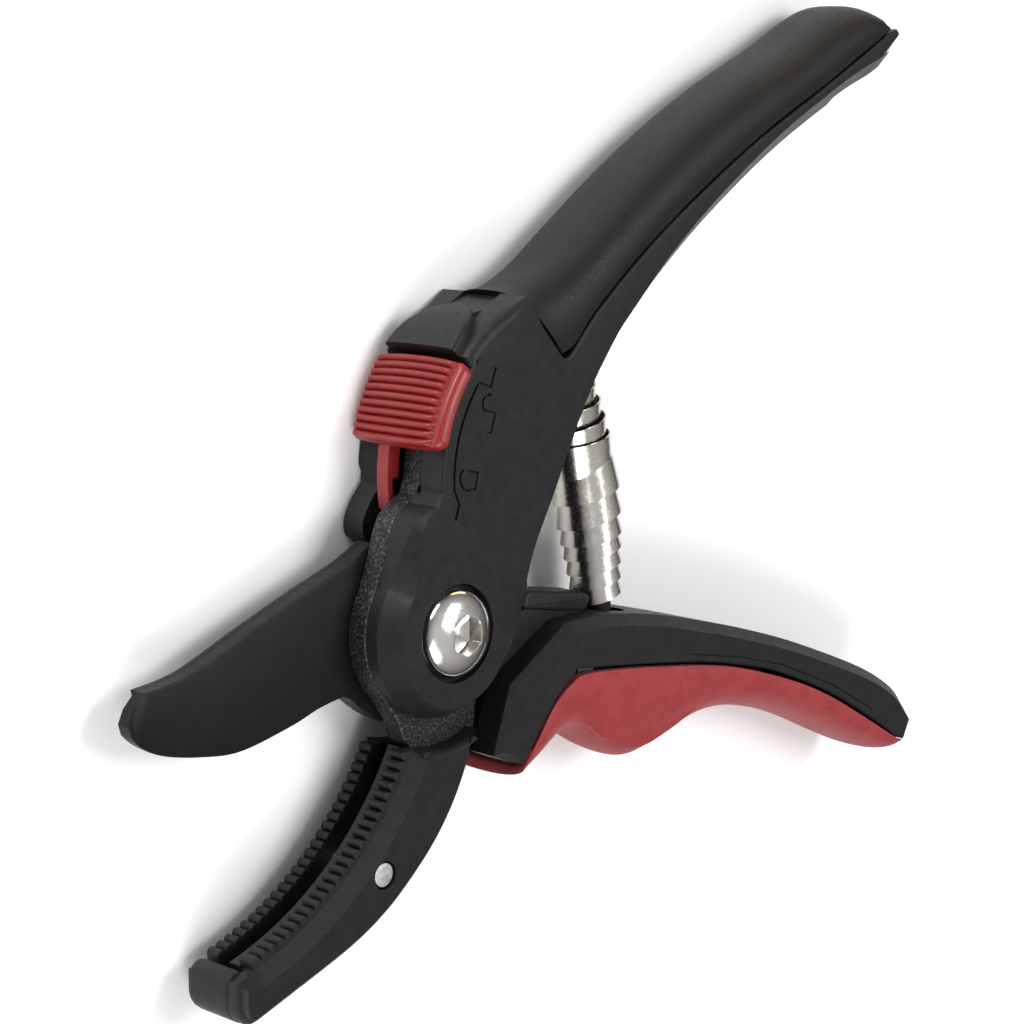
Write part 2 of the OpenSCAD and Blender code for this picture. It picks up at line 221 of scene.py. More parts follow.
def raw_object(name, solid):
    """A mesh object in metres from a solid in millimetres."""
    verts, faces = solid
    mesh = bpy.data.meshes.new(name)
    mesh.from_pydata([tuple(c * MM for c in v) for v in verts], [], faces)
    bm = bmesh.new()
    bm.from_mesh(mesh)
    bmesh.ops.triangulate(bm, faces=[f for f in bm.faces if len(f.verts) > 4])
    bmesh.ops.recalc_face_normals(bm, faces=bm.faces)
    bm.to_mesh(mesh)
    bm.free()
    obj = bpy.data.objects.new(name, mesh)
    bpy.context.scene.collection.objects.link(obj)
    return obj


def boolean(obj, solids, operation):
    """Joins solids to obj or cuts them from it, and keeps the result in its mesh."""
    for i, solid in enumerate(solids):
        other = raw_object("tool", solid)
        change = obj.modifiers.new("change", "BOOLEAN")
        change.operation = operation
        change.solver = "MANIFOLD"
        change.object = other
        graph = bpy.context.evaluated_depsgraph_get()
        result = bpy.data.meshes.new_from_object(obj.evaluated_get(graph))
        if len(result.polygons) == 0:
            raise RuntimeError(f"{obj.name}: {operation} {i} left nothing")
        obj.modifiers.clear()
        obj.data = result
        bpy.data.objects.remove(other)


def put(name, solids, body, material, replaces=(), cuts=(), sharp=32, fuse=True):
    """Makes one piece from solids, gives it its material and ties it to a CAD body.

    sharp is the angle in degrees past which an edge is shaded as a crease.
    """
    weld = 2e-6
    obj = raw_object(name, solids[0])
    if fuse:
        boolean(obj, solids[1:], "UNION")
    boolean(obj, cuts, "DIFFERENCE")
    if fuse or cuts:
        bm = bmesh.new()
        bm.from_mesh(obj.data)
        bmesh.ops.remove_doubles(bm, verts=bm.verts, dist=weld)
        bmesh.ops.dissolve_degenerate(bm, dist=weld / 2, edges=bm.edges)
        bm.to_mesh(obj.data)
        bm.free()
    for polygon in obj.data.polygons:
        polygon.use_smooth = True
    obj.data.set_sharp_from_angle(angle=math.radians(sharp))
    obj.data.materials.clear()
    obj.data.materials.append(material)
    obj.name = name
    if body:
        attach(obj, body)
    if replaces:
        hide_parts(*replaces)
    return obj


# ---- materials -------------------------------------------------------------

class Surface:
    """A Principled material with named constants on its sockets, and a few procedural layers."""

    def __init__(self, name, color, roughness, metallic=0.0, **sockets):
        self.material = bpy.data.materials.new(name)
        self.material.use_nodes = True
        self.tree = self.material.node_tree
        self.shader = self.tree.nodes["Principled BSDF"]
        self.shader.inputs["Base Color"].default_value = (*color, 1)
        self.shader.inputs["Roughness"].default_value = roughness
        self.shader.inputs["Metallic"].default_value = metallic
        for socket, value in sockets.items():
            self.shader.inputs[socket.replace("_", " ")].default_value = value
        self.place = self.node("ShaderNodeTexCoord").outputs["Object"]
        self.height = None

    def node(self, kind, **settings):
        made = self.tree.nodes.new(kind)
        for key, value in settings.items():
            setattr(made, key, value)
        return made

    def link(self, a, b):
        self.tree.links.new(a, b)

    def stretched(self, scale):
        mapping = self.node("ShaderNodeMapping")
        mapping.inputs["Scale"].default_value = scale
        self.link(self.place, mapping.inputs["Vector"])
        return mapping.outputs["Vector"]

    def noise(self, per_mm, detail=3.0, scale=(1, 1, 1), rough=0.5):
        made = self.node("ShaderNodeTexNoise")
        made.inputs["Scale"].default_value = per_mm / MM
        made.inputs["Detail"].default_value = detail
        made.inputs["Roughness"].default_value = rough
        self.link(self.stretched(scale), made.inputs["Vector"])
        return made.outputs["Fac"]

    def cells(self, per_mm, feature="F1"):
        made = self.node("ShaderNodeTexVoronoi", feature=feature)
        made.inputs["Scale"].default_value = per_mm / MM
        self.link(self.place, made.inputs["Vector"])
        return made.outputs["Distance"]

    def ramp(self, value, stops):
        made = self.node("ShaderNodeValToRGB")
        while len(made.color_ramp.elements) < len(stops):
            made.color_ramp.elements.new(0.5)
        for element, (at, color) in zip(made.color_ramp.elements, stops):
            element.position = at
            element.color = (*color, 1) if hasattr(color, "__len__") else (color, color, color, 1)
        self.link(value, made.inputs["Fac"])
        return made.outputs["Color"]

    def color(self, value, stops):
        self.link(self.ramp(value, stops), self.shader.inputs["Base Color"])
        return self

    def roughness(self, value, low, high):
        self.link(self.ramp(value, [(0.3, low), (0.7, high)]), self.shader.inputs["Roughness"])
        return self

    def bump(self, value, depth_mm, strength=1.0):
        made = self.node("ShaderNodeBump")
        made.inputs["Distance"].default_value = depth_mm * MM
        made.inputs["Strength"].default_value = strength
        self.link(value, made.inputs["Height"])
        if self.height is not None:
            self.link(self.height, made.inputs["Normal"])
        self.height = made.outputs["Normal"]
        self.link(self.height, self.shader.inputs["Normal"])
        return self


def black_nylon():
    s = Surface("black_nylon", (0.008, 0.008, 0.009), 0.5, Specular_IOR_Level=0.27)
    s.color(s.noise(0.5, 4), [(0.35, (0.0065, 0.0065, 0.0073)), (0.65, (0.0098, 0.0098, 0.011))])
    s.roughness(s.noise(1.2, 4), 0.44, 0.56)
    return s.bump(s.noise(5, 3), 0.02).bump(s.cells(3.2), 0.012, 0.7).material


def soft_grip(name, dark, light, rough, sheen=0.0):
    s = Surface(name, light, rough, Sheen_Weight=sheen, Sheen_Roughness=0.5, Specular_IOR_Level=0.25)
    s.color(s.noise(0.35, 5), [(0.35, dark), (0.65, light)])
    s.roughness(s.noise(1.5, 4), rough - 0.05, rough + 0.07)
    return s.bump(s.cells(1.9), 0.03, 0.7).bump(s.noise(4.5, 4), 0.02).material


def coated_blade():
    s = Surface("coated_blade", (0.005, 0.005, 0.006), 0.42, Specular_IOR_Level=0.16)
    s.color(s.noise(0.25, 5), [(0.3, (0.004, 0.004, 0.0048)), (0.7, (0.006, 0.006, 0.007))])
    s.roughness(s.noise(0.8, 5), 0.38, 0.5)
    return s.bump(s.noise(7, 2), 0.006).material


def sintered_steel():
    s = Surface("sintered_steel", (0.2, 0.2, 0.2), 0.5, 0.75)
    s.color(s.noise(2.6, 6, rough=0.75), [(0.38, 0.008), (0.54, 0.034), (0.70, 0.22)])
    s.roughness(s.noise(3, 4), 0.35, 0.65)
    return s.bump(s.noise(3.2, 5), 0.08).bump(s.cells(2.2), 0.04).material


def plated(name, color, rough, wear):
    s = Surface(name, color, rough, 1.0)
    s.color(s.noise(0.4, 5), [(0.3, tuple(c * 0.86 for c in color)), (0.7, color)])
    s.roughness(s.noise(1.6, 5, scale=(1, 1, 4)), rough * 0.8, rough + wear)
    return s.bump(s.noise(0.5, 2), 0.006, 0.4).bump(s.noise(6, 2), 0.0008, 0.3).material


def red_plastic():
    s = Surface("red_plastic", (0.22, 0.012, 0.012), 0.36, Specular_IOR_Level=0.45)
    s.color(s.noise(0.5, 4), [(0.3, (0.19, 0.010, 0.010)), (0.7, (0.235, 0.015, 0.014))])
    s.roughness(s.noise(1.4, 4), 0.3, 0.42)
    return s.bump(s.noise(5, 3), 0.012).material


NYLON = black_nylon()
GRIP_BLACK = soft_grip("grip_black", (0.005, 0.005, 0.0054), (0.007, 0.007, 0.0074), 0.5)
GRIP_RED = soft_grip("grip_red", (0.235, 0.025, 0.028), (0.275, 0.032, 0.034), 0.6, 0.06)
COATED = coated_blade()
SINTERED = sintered_steel()
BRIGHT = plated("bright_steel", (0.80, 0.77, 0.72), 0.13, 0.08)
SPRING = plated("spring_nickel", (0.66, 0.63, 0.57), 0.17, 0.12)
PIN = plated("ground_steel", (0.55, 0.55, 0.55), 0.3, 0.15)
RIVET = plated("rivet_steel", (0.86, 0.86, 0.85), 0.35, 0.15)
RED = red_plastic()
BUMPER = soft_grip("bumper_rubber", (0.011, 0.011, 0.012), (0.016, 0.016, 0.017), 0.5)
BRONZE = plated("bronze", (0.62, 0.44, 0.2), 0.35, 0.1)


# ---- upper handle ----------------------------------------------------------

# Inner edge of the handle, from its end to the head.
upper_inner = smooth([(143.4, -20.9), (139.6, -19.2), (132.5, -15.4), (122.7, -11.4), (110.6, -7.6),
                      (98.5, -4.6), (86.3, -2.2), (74, -0.6), (64, 0.6), (55, 1.6), (48, 1.9), (40, 0.6),
                      (30, -2.4), (21, -5.0), (15.4, -7.6)], 5)
# The seam between the hard core and the soft grip on each face, from the head to the end.
upper_seam = [(47.0, 12.4), (48.6, 11.0), (58.3, 11.0), (73.8, 8.9), (88.7, 5.5), (106.7, 0.4), (124.6, -6.0),
              (138, -10.6), (147.6, -13.6)]
seam_curve = smooth(upper_seam, 5)
ledge = smooth([(2.5, 16.4), (5.6, 18.1), (7.8, 18.7), (9.8, 18.5), (11.6, 17.9)], 4)
hook = smooth([(0, 12.2), (3.4, 11.2), (6, 11.8), (5.6, 13.6), (5.6, 15.4), (7.4, 17.2), (10.4, 18)], 4)
cheek_r = 14.2
track_edge = arc(track_c, 26.3, 138, 92.6, 24) + arc(track_c, 28.4, 91.6, 68, 14)
handle_end = [(149.2, -14.6), (149.2, -15.8)]
near_outline = (upper_inner + arc((0, 0), cheek_r, -46, -262, 72) + ledge + track_edge
                + [(48.4, 25.6), (47.4, 19)] + seam_curve + handle_end)
far_outline = (upper_inner + arc((0, 0), cheek_r, -46, -253, 68) + hook + track_edge
               + [(48.4, 25.6), (47.4, 19)] + seam_curve + handle_end)
core_back = smooth([(147.4, -12.2), (137.5, -6.4), (126, -1.2), (112.6, 4.4), (98.5, 9.4), (85.3, 13),
                    (72, 15.6), (60, 17.8), (52, 20.8), (46, 25.2), (42, 28.4)], 4)
core_outline = ([(24.5, 1.5), (31, 0.4)] + upper_inner[:-15][::-1] + handle_end[::-1] + core_back
                + [(36, 25), (31, 23.6), (26.5, 18), (24, 10)])
strap_pts = [(124, -20), (127.5, -14.6), (131, -12.6), (136, -12.2), (143, -14), (152, -17.8), (152, -30),
             (124, -30)]


def handle_taper(p):
    """Width of the chamfer under the handle, which grows from the head to the grip."""
    return np.interp(p[0], [40, 47, 59, 75, 112, 124, 133, 144], [0.6, 1.3, 3.7, 4.9, 4.5, 4.2, 4.6, 5.4])


def cheek_edge(p):
    """Broad bevel round the pivot, a soft edge beside the thumb rest, and a taper under the handle."""
    if on(p, upper_inner) and p[0] > 15.5:
        return handle_taper(p), handle_taper(p) * 1.05 + 0.3, 0
    turn = (math.degrees(math.atan2(p[1], p[0])) - 360) % -360
    grow = 0
    if math.hypot(*p) < cheek_r + 0.1:
        grow = min(1, (-46 - turn) / 30)
    elif on(p, ledge):
        grow = max(0, 0.95 - p[0] / 11)
    if grow > 0:
        return 0.45 + 1.75 * grow, 0.45 + 3.25 * grow, 0
    if math.dist(p, track_c) > 27.4 and p[0] < 48 and p[1] > 20:
        return 1.9, 2.1, 1
    return 0.45, 0.45, 1


def far_edge(p):
    """The far cheek repeats the handle's taper, with a plain small edge round the head."""
    if p[0] < 15.5:
        return 0.8, 0.8, 0
    width, height, roundness = cheek_edge(p)
    return width * 0.9, min(height, 5.0), roundness


def groove_lines():
    """The slider's track line and the open and closed padlocks beside it, as (line, width) pairs."""
    line_r, track_width, symbol_width = 23.8, 0.5, 0.42
    track = [(35.6, 23.2), (32.6, 21.9)] + arc(track_c, line_r, 95, 138, 20) + [(14.9, 14.3), (12.6, 13.2)]
    open_shackle = [(31.8, 21.0), (31.0, 21.7), (29.9, 21.7), (29.1, 20.8), (29.3, 19.9)]
    open_body = [(29.3, 19.9), (30.3, 18.2), (27.5, 16.7), (26.9, 17.6)]
    closed_shackle = [(19.4, 17.4), (18.2, 17.3), (17.4, 16.3), (17.3, 15.1), (17.9, 14.2)]
    closed_body = [(19.8, 16.6), (21.1, 14.6), (18.9, 13.2), (17.9, 14.2)]
    symbols = [smooth(open_shackle, 4), open_body, smooth(closed_shackle, 4), closed_body]
    return [(track, track_width)] + [(symbol, symbol_width) for symbol in symbols]


def upper_body():
    """Both cheeks, the core between them and the bridge over the track, with every recess cut out."""
    groove_depth, recess_r, recess_depth, bore_r = 0.45, 8.0, 1.5, 4.0
    nut_corner_r, nut_depth, flange_far, flange_near = 7.52, 3.6, 3.4, 3.6
    near = slab(near_outline, plate_high, head_t, 0, cheek_edge)
    far = slab(far_outline, 0, far_cheek_top, far_edge, 0)
    core = slab(core_outline, far_cheek_top - 0.4, plate_high + 0.4)
    cap = slab(arc(track_c, 28.35, 91.6, 57, 16) + arc(track_c, 24.9, 57, 91.6, 16), far_cheek_top - 0.4,
               plate_high + 0.4)
    cuts = [wire(line, width, head_t - groove_depth, head_t + 1) for line, width in groove_lines()]
    cuts.append(slab(rounded(strap_pts, 2), flange_far, head_t - flange_near))
    cuts.append(lathe([(recess_r, head_t - recess_depth), (recess_r, head_t + 1)]))
    cuts.append(lathe([(bore_r, -1), (bore_r, head_t + 1)]))
    cuts.append(slab(arc((0, 0), nut_corner_r, 0, 300, 5), -1, nut_depth))
    cuts.append(slab(arc(track_c, 27, 98, 139, 16) + arc(track_c, 25.4, 139, 98, 16), plate_high - 0.5,
                     plate_high + 1.3))
    cuts.append(along_spring([(6.4, 1.0), (6.4, -4)], from_top=True))
    return put("upper_handle_body_shell", [near, far, core, cap], FIXED, NYLON,
               ["upper_handle_body"], cuts, sharp=28)


def dome():
    """Thumb rest behind the slider, half round where it runs out onto the handle."""
    rings = []
    from_a, to_a, reach, base, crown = 91.7, 70.0, 7.7, 25.5, 0.25
    for s in np.linspace(0, 0.985, 15):
        a = math.radians(from_a + (to_a - from_a) * s)
        half = reach * math.sqrt(1 - s * s)
        top = 30.45 - 0.9 * s ** 3
        soft = min(0.9, half * 0.7)
        ring = [(-half, base), (-half, top - soft)]
        ring += [(-half + soft * (1 - math.cos(t)), top - soft + soft * math.sin(t))
                 for t in np.radians(np.linspace(20, 90, 5))]
        ring += [(x, top + crown * (1 - (x / half) ** 2))
                 for x in np.linspace(-half + soft, half - soft, 9)[1:-1]]
        ring += [(half - soft * (1 - math.cos(t)), top - soft + soft * math.sin(t))
                 for t in np.radians(np.linspace(90, 20, 5))]
        ring += [(half, top - soft), (half, base)]
        rings.append([(track_c[0] + r * math.cos(a), track_c[1] + r * math.sin(a), mid_z + z)
                      for z, r in ring])
    return put("thumb_rest_dome", [loft(rings)], FIXED, NYLON, fuse=False, sharp=40)


# ---- grips -----------------------------------------------------------------

def grip(name, stations, half_t, material, body, replaces, power, bead_from=None, backing=2.6):
    """A soft half shell over a handle: each station is a seam point and the outermost point opposite it."""
    rings = []
    soft, tuck, lip = 0.5, 0.12, 1.6
    curve = smooth([(*seam, *outer) for seam, outer in stations], 6)
    last = len(curve) - 1
    for k, (sx, sy, ox, oy) in enumerate(curve):
        seam, outer = np.array([sx, sy]), np.array([ox, oy])
        reach = np.linalg.norm(outer - seam)
        across = (outer - seam) / reach
        share = k / last
        ring = []
        for phi in np.linspace(0, math.pi, 41):
            c, s = math.cos(phi), math.sin(phi)
            x = reach * abs(s) ** (2 / power)
            z = half_t * math.copysign(abs(c) ** (2 / power), c)
            if phi < 0.01 or phi > math.pi - 0.01:
                z -= math.copysign(soft * 0.5, z)
                x = tuck
            if bead_from is not None and share > bead_from and 1.1 < x < 1.75 and z > 0:
                z -= 0.16
            ring.append((*(seam + across * x), mid_z + z))
        deep = min(backing, reach * 0.75)
        ring.append((*(seam + across * tuck), mid_z - half_t + lip))
        ring.append((*(seam + across * max(reach - deep, 0.2)), mid_z - half_t + 2.4))
        ring.append((*(seam + across * max(reach - deep, 0.2)), mid_z + half_t - 2.4))
        ring.append((*(seam + across * tuck), mid_z + half_t - lip))
        rings.append(ring)
    return put(name, [loft(rings)], body, material, replaces, fuse=False, sharp=50)


def upper_grip():
    stations = [((47.35, 12.6), (48.75, 25.9)), ((50.6, 11.35), (51.6, 23.7)), ((58.4, 11.35), (59.6, 20.5)),
                ((72.7, 9.4), (71.7, 18.2)), ((87.4, 6.2), (85.6, 15.6)), ((101, 2.5), (99.5, 12.1)),
                ((114, -1.7), (114.3, 7.3)), ((126.6, -6.4), (129.2, 1.3)), ((136.6, -9.7), (140.8, -2.8)),
                ((142.6, -11.7), (146.3, -5.8)), ((146.4, -13.0), (148.5, -9.4)),
                ((147.4, -13.35), (148.6, -12.2))]
    return grip("upper_handle_soft_grip", stations, head_t / 2, GRIP_BLACK, FIXED,
                ["upper_handle_grip"], 2.8, bead_from=0.3)


# The seam between the hard core and the soft grip, from the front of the handle to its end.
lower_seam = [(-6.3, -28.5), (5.4, -27.3), (11.6, -28.2), (14.4, -30.2), (30.6, -51.4), (38.2, -62.9),
              (44.6, -74.5), (51.0, -90.2), (55.2, -104.6), (57.6, -115.2)]


def lower_grip():
    stations = [((-6.6, -28.9), (-8.4, -30.4)), ((-1.5, -28.6), (-3.5, -33.6)), ((5.3, -27.8), (5.0, -37.2)),
                ((10.8, -28.9), (7.4, -41.2)), ((13.8, -30.9), (8.5, -48.2)), ((20, -38.3), (12.1, -56.2)),
                ((26.6, -47), (18.6, -60.8)), ((34, -57.2), (27.2, -65.4)), ((40, -67), (34, -72.2)),
                ((46.6, -80.4), (40.5, -82.8)), ((50.9, -91.6), (45.3, -93.3)),
                ((54.2, -103), (49.6, -104.8)), ((56.4, -111.2), (52.8, -113.2)),
                ((57.5, -115.2), (55.0, -117.4)), ((58.3, -117.0), (57.4, -118.2))]
    return grip("lower_handle_soft_grip", stations, low_top - mid_z, GRIP_RED, MOVING,
                ["lower_handle_grip"], 2.3, backing=3)


# ---- lower handle ----------------------------------------------------------

lower_top = smooth([(17.4, -21.8), (24.4, -28.9), (31.9, -39.2), (38.2, -49.6), (44.2, -60.2), (50.7, -72.8),
                    (57, -86.8), (61.9, -98.9), (64.4, -108.2), (64.4, -113.4)], 5)
lower_end = [(62.6, -116.4), (58.6, -117.6)]
lower_outline = ([(-8.9, -22.6), (1.8, -17.4)] + lower_top + lower_end + smooth(lower_seam, 4)[::-1]
                 + [(-7.7, -26)])
lower_belly = smooth([(57.3, -117), (54.2, -110), (49.8, -97), (43.2, -82.6), (36, -69.2), (26.6, -60),
                      (16.4, -53.6), (12.8, -46), (8, -37.6), (0, -33), (-5.6, -28.6)], 4)
lower_core = [(-6, -23.5), (2.2, -18.6), (15.2, -15.8)] + lower_top[4:] + lower_end + lower_belly


def lower_edge(p):
    """A wide chamfer along the handle's back, a crisp facet at the front, and a fine edge at the seam."""
    if on(p, lower_top):
        return 1.9, 2.0, 0
    if p[1] > -27 and p[0] < 3:
        return 1.2, 1.3, 0
    return 0.3, 0.3, 0


def lower_body():
    """Two handle halves with a core between them, hollowed for the spring and for the head's cheeks."""
    seam_groove = 0.28
    block_top = plate_high - 0.2
    near = slab(lower_outline, block_top - 0.3, low_top, 0, lower_edge)
    far = slab(lower_outline, low_bottom, blade_low + 0.3, lower_edge, 0)
    core = slab(lower_core, blade_low + 0.1, block_top)
    front = slab(arc((0, 0), 15.2, -83, -56, 12) + [(15.2, -15.8), (24.4, -28.9), (24, -34), (4, -30)],
                 blade_low + 0.1, block_top, 0, 0.4)
    hole = along_spring([(4.6, 4.5), (4.6, -3.5)])
    seam = [(x + 1.35, y + 0.55) for x, y in lower_seam[4:-1]]
    line = wire(seam, seam_groove, low_top - 0.3, low_top + 1)
    room = slab(arc((0, 0), 15.0, 0, 357, 60), -1, head_t + 1)
    return put("lower_handle_body_shell", [near, far, core, front], MOVING, NYLON,
               ["lower_handle_body"], [hole, room, line])


def bumper():
    pad = [(16.9, -14.9), (18.3, -14.9), (27.0, -27.2), (26.6, -28.8), (24.2, -29.2), (15.2, -16.2)]
    soft = 0.8
    solid = slab(rounded(pad, soft), blade_low + 0.3, plate_high - 0.5, soft, soft)
    return put("closing_bumper_pad", [solid], MOVING, BUMPER, ["closing_bumper"], fuse=False)


# ---- core plate and jaw ----------------------------------------------------

# Lower edges of the plate and of both covers, from the jaw's end to its root.
plate_lower = smooth([(-67.2, -10.4), (-59.8, -15), (-53.8, -18.3), (-47.5, -21), (-40.7, -23.2),
                      (-32.6, -24.6), (-24.5, -24.8), (-17.1, -23.6), (-10.5, -21.4), (-6, -19.8)], 6)
far_low = smooth([(-66.6, -11.4), (-59.6, -14.6), (-48, -20.2), (-40, -22.8), (-32.3, -24), (-24.2, -24.2),
                  (-16.8, -23), (-10, -20.9), (-6.4, -18.8)], 6)
near_low = smooth([(-66.6, -10.0), (-60, -13.3), (-48.5, -18.9), (-40.4, -21.6), (-33, -22.7), (-25.3, -22.9),
                   (-18, -21.8), (-11.4, -19.6), (-8.6, -18.1)], 6)
plate_outline = (arc((0, 0), 14.4, -84, -4, 36) + [(20, 2.4), (37, 6.4), (38, 19)]
                 + arc(track_c, 25.3, 97, 134, 18)
                 + smooth([(13.2, 17.8), (11.2, 18.4), (8.6, 18.9), (5.9, 18.3), (2.5, 16.6)], 4)
                 + arc((0, 0), 14.4, 101, 180, 36) + [(-15.2, -5), (-16.6, -7.6)]
                 + arc(jaw_c, jaw_r + 3.4, jaw_from, jaw_to, 40)
                 + [(-65.4, -5.2), (-67.6, -8.0)] + plate_lower + [(-2.4, -17.0)])


def core_plate():
    holes = [lathe([(4.1, 0), (4.1, head_t)])]
    return put("core_plate_body", [slab(plate_outline, plate_low, plate_high, 0.3, 0.35)], FIXED, SINTERED,
               ["core_plate"], holes)


def toothed_edge(depth, height, count=25):
    """The tooth line of a rail, from its root to its end: half-round teeth side by side."""
    steps = 10
    points = []
    for i in range(count * steps + 1):
        phase = i / steps
        a = jaw_from - 0.4 + (jaw_to - jaw_from + 0.8) * phase / count
        across = 2 * (phase % 1) - 1
        rise = height * math.sqrt(max(0.0, 1 - 1.15 * across ** 2))
        points += arc(jaw_c, jaw_r + depth - rise, a, a, 0)
    return points


def plain_edge(depth, n=48):
    """The jaw's arc at a depth below the tooth line."""
    return arc(jaw_c, jaw_r + depth, jaw_from, jaw_to, n)


# The square end that both covers share, and the round root that clears the closed blade.
jaw_tip = [(-64.4, -3.0), (-67.7, -6.2), (-68.15, -8.9)]
root_r = 19.3
rivet_c = (-36, -16.5)


def cover_outline(edge, low):
    """A jaw cover's outline: its root, its top edge, the rounded end and its own lower edge."""
    return arc((0, 0), root_r, -111, -153, 12) + edge + rounded_open(jaw_tip + [low[0]], 1.8) + low[1:]


def jaw_end(low_z, high_z, low, top):
    """The block at the end of the channel."""
    pts = [(-61.4, -3.6), (-64.4, -2.6), (-67.9, -6.2), (-68.15, -9.2), (-66.8, -11.4), (-62.6, -13.2)]
    return slab(rounded(pts, 2.2), low_z, high_z, low, top)


def rail(depth, height, z0, z1, floor):
    """One toothed rail standing on the cover's wall."""
    return slab(toothed_edge(depth, height) + plain_edge(floor, 60)[::-1], z0, z1, 0.15, 0.15)


def near_cover():
    tooth_low, tooth_high = plate_high - 1.6, plate_high + 1.6
    bevel_edge = plain_edge(1.0)

    def edge(p):
        """A broad bevel below the teeth and a soft edge round the rest."""
        return (2.3, 1.9, 0) if on(p, bevel_edge) else (1.1, 1.5, 0.6)

    main = slab(cover_outline(bevel_edge, near_low), plate_high, cover_top, 0, edge)
    ledge_strip = slab(plain_edge(0.9) + plain_edge(3.6)[::-1], plate_low + 0.05, tooth_low + 0.2, 0.1, 0)
    fill = slab(plain_edge(1.4) + plain_edge(3.6)[::-1], tooth_low, plate_high + 0.1)
    teeth = rail(0.4, 1.15, tooth_low, tooth_high, 3.4)
    hole = lathe([(2.35, plate_low - 1), (2.35, head_t)], rivet_c, 48)
    return put("jaw_cover_near_shell", [main, ledge_strip, fill, teeth], FIXED, NYLON,
               ["jaw_cover_near"], [hole], sharp=28)


def far_cover():
    rail_top = cover_low + 2.8
    main = slab(cover_outline(plain_edge(2.0), far_low), cover_low, rail_top, 0.9, 0)
    wall = slab(cover_outline(plain_edge(5.0), far_low), rail_top - 0.1, plate_low)
    teeth = rail(1.3, 0.8, cover_low, rail_top, 4.0)
    end = jaw_end(cover_low, plate_high - 0.05, 1.6, 0.25)
    return put("jaw_cover_far_shell", [main, wall, teeth, end], FIXED, NYLON,
               ["jaw_cover_far"], sharp=28)


def rivet():
    top = cover_top - 0.35
    profile = [(1.2, cover_low), (2.0, cover_low + 0.2), (2.0, top - 0.2), (1.9, top), (1.0, top + 0.12),
               (0.2, top + 0.15)]
    return put("jaw_rivet_head", [lathe(profile, rivet_c, 48)], FIXED, RIVET, ["jaw_rivet"],
               fuse=False)


# ---- blade -----------------------------------------------------------------

blade_spine = smooth([(4.1, 16.3), (-1.7, 18.3), (-10.7, 22.6), (-21.7, 27.5), (-32.7, 32.3),
                      (-39.5, 37.2)], 8)
blade_tip = [(-42.7, 37.2), (-44.9, 36.4)]
blade_edge = smooth([(-45.8, 34.8), (-45.8, 32.2), (-44.5, 28.1), (-40.9, 22.3), (-35.7, 16), (-27.2, 10.2),
                     (-21.5, 7.1), (-17.3, 4.2)], 8)
blade_heel = smooth([(-16.7, 2.4), (-16.4, -1), (-15.5, -5), (-13.8, -9.4)], 4)
tang = [(-10.6, -13), (-7.4, -15.2), (-3, -22), (9, -35), (20, -56), (29, -57), (31, -48), (21, -30),
        (14.5, -17), (11.9, -5)]
lobe = arc((0, 0), 15.5, 20, 46, 12) + arc((0, 0), 11.9, 48, 66, 8)
blade_root = tang + arc((0, 0), 11.4, -12, 17, 12)
# Where the blade steps from its full thickness down to the ground part.
spine_inner = smooth([(-40.6, 35.4), (-39.6, 31.6), (-36.4, 26.6), (-31.2, 21), (-24.4, 15.6),
                      (-18, 11.6)], 6)


def ground_edge(p):
    """The cutting edge is ground on the far face, and wider away from the tip. The others are only broken."""
    broken, ground, from_tip = 0.2, 2.8, 7
    if not on(p, blade_edge):
        return broken, broken, 0
    grow = min(1, math.dist(p, blade_edge[0]) / from_tip)
    return broken + ground * grow, broken + (blade_high - blade_thin - 0.55) * grow, 0


def blade():
    """The thin ground blade with its thicker back and tang."""
    thin = slab(lobe + blade_spine + blade_tip + blade_edge + blade_heel + blade_root, blade_thin, blade_high,
                ground_edge, lambda p: (0.6, 0.25, 0) if on(p, blade_spine) else (0.14, 0.14, 0))
    thick = slab(lobe + blade_spine + spine_inner + arc((0, 0), 17, 153, 171, 6) + blade_heel + blade_root,
                 blade_low, blade_thin + 0.1, 0.3, 0)
    bore = lathe([(5.55, 0), (5.55, head_t)])
    return put("cutting_blade_body", [thin, thick], MOVING, COATED, ["cutting_blade"], [bore])


# ---- pivot bolt ------------------------------------------------------------

def bolt():
    """Domed head with a hexagonal socket."""
    seat, head_r, shank_r, socket = head_t - 1.1, 7.0, 4.0, 3.0 / math.cos(math.pi / 6)
    rim, dome_h = 0.6, 3.0
    count = 96
    angles = np.linspace(0, 2 * math.pi, count, endpoint=False)

    def ring(r, z, hexagonal=0.0):
        made = []
        for a in angles:
            turn = (a + math.radians(12)) % (math.pi / 3) - math.pi / 6
            flat = socket * math.cos(math.pi / 6) / math.cos(turn)
            q = r * (1 - hexagonal) + flat * hexagonal
            made.append((q * math.cos(a), q * math.sin(a), z))
        return made

    rings = [ring(shank_r, 0.8), ring(shank_r, seat), ring(head_r - 0.25, seat), ring(head_r, seat + 0.25),
             ring(head_r, seat + rim)]
    for t in np.radians(np.linspace(6, 60, 14)):
        rings.append(ring(head_r * math.cos(t) + 0.15, seat + rim + dome_h * math.sin(t)))
    rim_z = seat + rim + dome_h * math.sin(math.radians(60)) + 0.08
    rings += [ring(3.45, rim_z, 0.35), ring(0, rim_z - 0.02, 1.0), ring(0, rim_z - 0.25, 1.0)]
    inner = ring(0, seat + 0.7, 1.0)
    rings.append([(x * 0.985, y * 0.985, z) for x, y, z in inner])
    rings.append([(x * 0.5, y * 0.5, seat + 0.2) for x, y, z in inner])
    return put("pivot_bolt_head", [loft(rings)], FIXED, BRIGHT, ["pivot_bolt"], fuse=False,
               sharp=35)


# ---- spring ----------------------------------------------------------------

# Where the spring meets its lower and upper seats.
spring_low = np.array([28.8, -33.5, mid_z])
spring_high = np.array([51.2, -0.4, mid_z])


